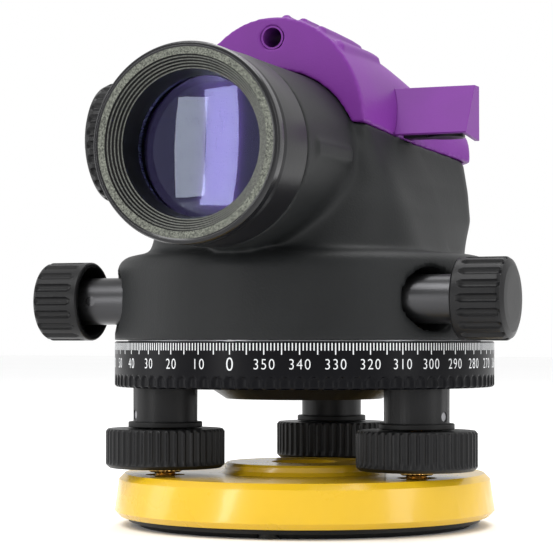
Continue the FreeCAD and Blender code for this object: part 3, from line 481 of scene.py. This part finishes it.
def circle_marks(r, z_top):
    """White degree lines and the figures every ten degrees, wrapped round the band."""
    verts, faces = [], []
    lift = 0.035

    def patch(angle, width, z_low, z_high):
        half = width / 2 / r
        start = len(verts)
        for radius in (r - 0.05, r + lift):
            for z in (z_low, z_high):
                for a in (angle - half, angle + half):
                    verts.append((radius * math.sin(a) * MM, -radius * math.cos(a) * MM, z * MM))
        s = start
        faces.extend([(s + 4, s + 5, s + 7, s + 6), (s, s + 2, s + 3, s + 1),
                      (s, s + 1, s + 5, s + 4), (s + 2, s + 6, s + 7, s + 3),
                      (s, s + 4, s + 6, s + 2), (s + 1, s + 3, s + 7, s + 5)])
    for degree in range(DEGREES):
        length = 3.0 if degree % 5 == 0 else 1.95
        patch(math.radians(-degree), 0.30, z_top - 0.45 - length, z_top - 0.45)
    piece("degree_lines", verts, faces, M["mark"], "circle")
    for value in range(0, DEGREES, 10):
        size = 5.0 if value == 0 else 3.9
        figure(str(value), math.radians(-value), r, z_top - 5.9, size)


def figure(text, angle, r, z_middle, size):
    curve = bpy.data.curves.new("figure", "FONT")
    curve.body = text
    curve.size = size
    curve.align_x = "CENTER"
    curve.extrude = 0.04
    curve.space_character = 1.2
    curve.offset = -0.04
    obj = bpy.data.objects.new("figure_work", curve)
    bpy.context.scene.collection.objects.link(obj)
    graph = bpy.context.evaluated_depsgraph_get()
    mesh = bpy.data.meshes.new_from_object(obj.evaluated_get(graph))
    bpy.data.objects.remove(obj)
    rise = [v.co.y for v in mesh.vertices]
    middle = (max(rise) + min(rise)) / 2
    for v in mesh.vertices:
        a = angle + v.co.x * 0.88 / r
        radius = r + v.co.z - 0.005
        v.co = (radius * math.sin(a) * MM, -radius * math.cos(a) * MM,
                (z_middle + v.co.y - middle) * MM)
    finish_piece("figure_" + text, mesh, M["mark"], "circle")


# --- body, cover and hood ---------------------------------------------------------------------

def body_weight(p):
    """How freely the casting's skin may relax, from its place in mm."""
    x, y, z = p[:, 0], p[:, 1], p[:, 2]
    shoulder = np.clip((z - 74.0) / 3.0, 0, 1)
    under_cover = np.clip((102.5 - 0.1016 * (y - 20) - z) / 4.0, 0, 1)
    nose_end = np.clip((y + 57.0) / 5.0, 0, 1)
    rear = np.clip((46.0 - y) / 3.0, 0, 1)
    side_bar = 1 - np.clip(1.5 - np.abs(z - 99.9) / 4, 0, 1) * (x > 20) * (y < -25) * 0.97
    at_nose = np.clip((-8.0 - y) / 8.0, 0, 1)
    at_shoulder = np.clip((84.0 - z) / 4.0, 0, 1)
    return shoulder * under_cover * nose_end * rear * side_bar * np.maximum(at_nose, at_shoulder)


def drum_trim(p):
    """Keeps the foot of the drum flush with the drum above it."""
    out = np.hypot(p[:, 0], p[:, 1])
    scale = np.where((p[:, 2] < 60.0) & (out > 53.0), 53.0 / np.maximum(out, 1.0), 1.0)
    return p * np.stack((scale, scale, np.ones_like(scale)), axis=1)


def cover_weight(p):
    return np.full(len(p), 0.12)


def body_parts():
    voxel = 0.8
    relaxed("body_casting", "body_shell", M["body"], "alidade", voxel, body_weight, 40,
            trim=drum_trim)
    relaxed("cover", "cover_shell", M["cover"], "alidade", 0.6, cover_weight, 3)
    softened("mirror_hood", M["cover"], "alidade", 0.35, 3)


# --- turned and fluted parts ------------------------------------------------------------------

def middle_of(node):
    lo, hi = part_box(node)
    return [(a + b) / 2 for a, b in zip(lo, hi)]


def tangent_knobs():
    """Domed caps with eighteen flutes and a cup that swallows the sleeve."""
    for side, node in ((-1, "tangent_knob_left"), (1, "tangent_knob_right")):
        lo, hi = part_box(node)
        _, y, z = middle_of(node)
        start = lo[0] if side > 0 else hi[0]
        l = (hi[0] - lo[0]) / MM
        r = (hi[2] - lo[2]) / 2 / MM
        outline = rounded([(r - 1.3, 0, 0.3), (r - 0.4, 0, 0.3), (r, 0.5, 0.3), (r, l - 1.7, 0.8),
                           (r - 0.6, l - 0.8, 0.6), (r - 2.2, l - 0.12, 1.0), (r - 4.6, l, 0.5),
                           (0, l, 0), (0, l * 0.6, 0), (3.02, l * 0.6, 0), (3.02, 9.0, 0),
                           (6.52, 9.0, 0), (6.52, 6.0, 0), (r - 1.5, 6.0, 0.3)], 3)
        obj = lathe(node + "_grip", subdivided(outline, 0.45), Vector((start, y, z)),
                    "x" if side > 0 else "-x", M["knob"], "tangent_drive",
                    TANGENT_FLUTES * 16, flutes(TANGENT_FLUTES, 1.05, 2.0, l - 0.6, r, 0.62, 1.4))
        replace(obj, node)


def focus_knob():
    lo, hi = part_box("focus_knob")
    _, y, z = middle_of("focus_knob")
    r = (hi[2] - lo[2]) / 2 / MM
    l = (hi[0] - lo[0]) / MM
    outline = rounded([(3.02, 0, 0), (r - 1.6, 0, 0.6), (r, 1.4, 0.6), (r, l - 3.0, 1.0),
                       (r - 0.7, l - 1.3, 0.7), (r - 2.4, l - 0.3, 0.8), (r - 5.0, l, 0.6),
                       (r - 5.6, l, 0.3), (r - 6.0, l - 0.6, 0.3), (0, l - 0.6, 0), (0, l * 0.72, 0),
                       (3.02, l * 0.72, 0)], 3)
    obj = lathe("focus_knob_grip", subdivided(outline, 0.5), Vector((hi[0], y, z)), "-x",
                M["knob"], "focus_drive", FOCUS_FLUTES * 14,
                flutes(FOCUS_FLUTES, 1.0, 1.8, l - 1.6, r, 0.62, 1.2))
    replace(obj, "focus_knob")


def dioptre_and_eyecup():
    """Ribbed dioptre ring and the soft cup behind it."""
    lo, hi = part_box("dioptre_ring")
    x, _, z = middle_of("dioptre_ring")
    r = (hi[2] - lo[2]) / 2 / MM
    l = (hi[1] - lo[1]) / MM
    outline = rounded([(12.52, 0, 0), (r - 0.7, 0, 0.3), (r, 0.7, 0.3), (r, l - 0.7, 0.3),
                       (r - 0.7, l, 0.3), (8.4, l, 0), (8.4, 0, 0), (10.18, 0, 0),
                       (10.18, l - 1.7, 0), (12.52, l - 1.7, 0)], 3)
    obj = lathe("dioptre_grip", subdivided(outline, 0.6), Vector((x, lo[1], z)), "y", M["knob"],
                "dioptre", DIOPTRE_FLUTES * 12,
                flutes(DIOPTRE_FLUTES, 0.5, 2.4, l - 2.4, r, 0.7, 0.8))
    replace(obj, "dioptre_ring")
    lo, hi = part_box("eyecup")
    r = (hi[2] - lo[2]) / 2 / MM
    l = (hi[1] - lo[1]) / MM
    wave = [(14.4 - 0.5 * (k % 2), l * (0.12 + 0.09 * k), 0.3) for k in range(6)]
    outline = [(9.0, 0, 0), (14.2, 0, 0.3)] + wave
    outline += [(r - 0.8, l * 0.86, 0.5), (r, l - 0.5, 0.4), (r - 1.0, l, 0.4),
                (r - 2.4, l - 0.8, 0.5), (10.0, l * 0.45, 0.6), (9.0, l * 0.35, 0.4)]
    obj = lathe("eyecup_soft", rounded(outline, 3), Vector((x, lo[1], z)), "y", M["rubber"],
                "dioptre", 128)
    replace(obj, "eyecup")


def objective():
    """Barrel and rim, grained face, fine steps and the glass."""
    lo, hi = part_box("objective_hood")
    x, _, z = middle_of("objective_hood")
    face = Vector((x, lo[1], z))
    r = (hi[2] - lo[2]) / 2 / MM
    l = (hi[1] - lo[1]) / MM
    rim = rounded([(FACE_R, 0.25, 0), (24.1, 0.0, 0.3), (r - 0.35, 0.15, 0.5), (r, 1.0, 0.5),
                   (r, 3.6, 0.4), (r - 0.55, 4.3, 0.3), (FACE_R, 4.3, 0)], 4)
    obj = lathe("hood_rim", rim, face, "y", M["rim"], "alidade", 192)
    replace(obj, "objective_hood")
    barrel = rounded([(r - 0.55, 4.3, 0), (r - 0.2, 6.0, 0.8), (r - 0.1, l - 1.2, 0.5),
                      (r - 0.5, l, 0.4), (20.4, l, 0), (20.4, l - 1.0, 0), (18.4, l - 1.0, 0),
                      (18.4, 11.5, 0), (17.9, 11.5, 0), (17.9, 8.5, 0), (18.7, 3.9, 0),
                      (FACE_R, 3.9, 0)], 4)
    lathe("hood_barrel", barrel, face, "y", M["barrel"], "alidade", 192)
    flat = [(FACE_INNER_R, 0.3), (FACE_R, 0.25), (FACE_R, 1.2), (FACE_INNER_R, 1.2)]
    lathe("hood_face", flat, face, "y", M["face"], "alidade", 192)
    steps = []
    for k in range(HOOD_RINGS):
        outer = FACE_INNER_R - RING_WIDTH * k
        depth = 0.3 + RING_DEPTH * k
        steps += [(outer, depth), (outer - 0.3, depth + RING_DEPTH)]
        ring = [(outer - 0.64, depth + 0.66), (outer - 0.3, depth + 0.66)]
        ring += [(outer - 0.3, depth + 0.9), (outer - 0.64, depth + 0.9)]
        lathe("hood_edge_%d" % k, ring, face, "y", M["ridge"], "alidade", 192)
    steps += [(18.65, 3.9), (18.65, 4.4), (22.4, 4.4), (22.4, 0.3)]
    lathe("hood_steps", steps, face, "y", M["step"], "alidade", 192)
    objective_glass()


def dished(r, edge, rise, points=32):
    """Half a lens face out to radius r, its middle standing rise in front of its edge."""
    return [(r * k / points, edge - rise * (1 - (k / points) ** 2)) for k in range(points + 1)]


def objective_glass():
    """Crown and flint with smooth faces, cemented on a face that bulges backwards."""
    lo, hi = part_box("objective_lenses")
    x, _, z = middle_of("objective_lenses")
    front = Vector((x, lo[1], z))
    r = (hi[2] - lo[2]) / 2 / MM
    thick = (hi[1] - lo[1]) / MM
    crown = dished(r * 0.97, 1.0, 1.0) + [(r, 1.0)] + dished(r, 3.6, -1.4)[::-1]
    flint = dished(r, 3.62, -1.4) + [(r, thick), (0.0, thick)]
    for name, outline in (("crown", crown), ("flint", flint)):
        obj = lathe(name + "_lens", outline, front, "y", M[name], "alidade", 160)
        replace(obj, "objective_lenses")


# --- carried-over nodes -----------------------------------------------------------------------

def dress(mat, *names):
    """Puts a finish on CAD nodes that keep their own form."""
    for name in names:
        slots = NODES[name].data.materials
        slots.clear()
        slots.append(mat)


def dress_nodes():
    dress(M["plate"], "bottom_screws")
    dress(M["pin"], "housing_setscrews")
    dress(M["steel"], "spring_plate", "bearing_bush", "clutch_spring", "spindle",
          "floor_screws", "worm_shaft", "focus_shaft")
    dress(M["brass"], "footscrew_bushes", "spindle_nut", "worm_bushes", "worm_wheel",
          "focus_bush", "lens_cell", "reticle_cell", "damper_cup")
    dress(M["aluminium"], "floor_plate", "compensator_frame", "pendulum")
    dress(M["step"], "guide_tube", "retaining_ring")
    dress(M["cover"], "sight_tube")
    dress(M["glass"], "objective_lenses", "focusing_lens", "fixed_prisms", "reticle_glass",
          "eyepiece_lenses")
    dress(M["dark_metal"], "tangent_sleeves", "cover_screws", "vial_holder", "sleeve_setscrews")
    dress(M["barrel"], "eyepiece_tube", "eyepiece_flange")
    dress(M["mirror"], "hood_mirror")
    dress(M["vial"], "vial")


# --- stage, lights and camera -----------------------------------------------------------------

def stage():
    bpy.context.scene.view_settings.view_transform = "Standard"
    size = 6.0
    mesh = bpy.data.meshes.new("floor")
    mesh.from_pydata([(-size, -size, 0), (size, -size, 0), (size, size, 0), (-size, size, 0)],
                     [], [(0, 1, 2, 3)])
    floor = bpy.data.objects.new("floor", mesh)
    bpy.context.scene.collection.objects.link(floor)
    mesh.materials.append(grained("floor_white", (0.95, 0.95, 0.95), 0.6, 0.0, variation=0.01,
                                  mottle_scale=2.0))
    world = bpy.data.worlds.new("studio")
    bpy.context.scene.world = world
    world.use_nodes = True
    back = world.node_tree.nodes["Background"]
    socket(back, "Color", (1.0, 1.0, 1.0, 1))
    socket(back, "Strength", 1.0)


def softbox(name, place, target, size, watts, colour=(1, 1, 1)):
    light = bpy.data.lights.new(name, "AREA")
    light.shape = "RECTANGLE"
    light.size, light.size_y = size
    light.energy = watts
    light.color = colour
    obj = bpy.data.objects.new(name, light)
    obj.location = place
    obj.rotation_mode = "QUATERNION"
    obj.rotation_quaternion = (Vector(target) - Vector(place)).to_track_quat("-Z", "Y")
    bpy.context.scene.collection.objects.link(obj)


def lights():
    middle = (0, 0, 0.08)
    softbox("key", (-0.30, -0.55, 0.95), middle, (0.35, 0.5), 6.0)
    softbox("side", (0.95, -0.15, 0.35), middle, (0.3, 0.8), 3.0)
    softbox("left", (-0.85, -0.25, 0.25), middle, (0.3, 0.7), 1.8)
    softbox("strip", (-0.423, -0.906, 0.185), (0, 0, 0.1), (0.12, 0.34), 1.9)
    softbox("top", (0.1, 0.35, 1.1), middle, (0.9, 0.6), 8.5)


def camera():
    """A long lens a little to the right of the objective, just above the circle's height."""
    cam = bpy.data.cameras.new("camera")
    cam.lens = 137.84
    cam.sensor_width = 36.0
    obj = bpy.data.objects.new("camera", cam)
    obj.location = (0.2161, -0.5538, 0.0511)
    pitch = math.radians(1.745)
    heading = Vector((-0.37574, 0.92673, math.tan(pitch)))
    obj.rotation_mode = "QUATERNION"
    obj.rotation_quaternion = heading.to_track_quat("-Z", "Y")
    cam.clip_start = 0.01
    bpy.context.scene.collection.objects.link(obj)
    bpy.context.scene.camera = obj


camera()
stage()
lights()
dress_nodes()
base_parts()
circle_parts()
body_parts()
tangent_knobs()
focus_knob()
dioptre_and_eyecup()
objective()
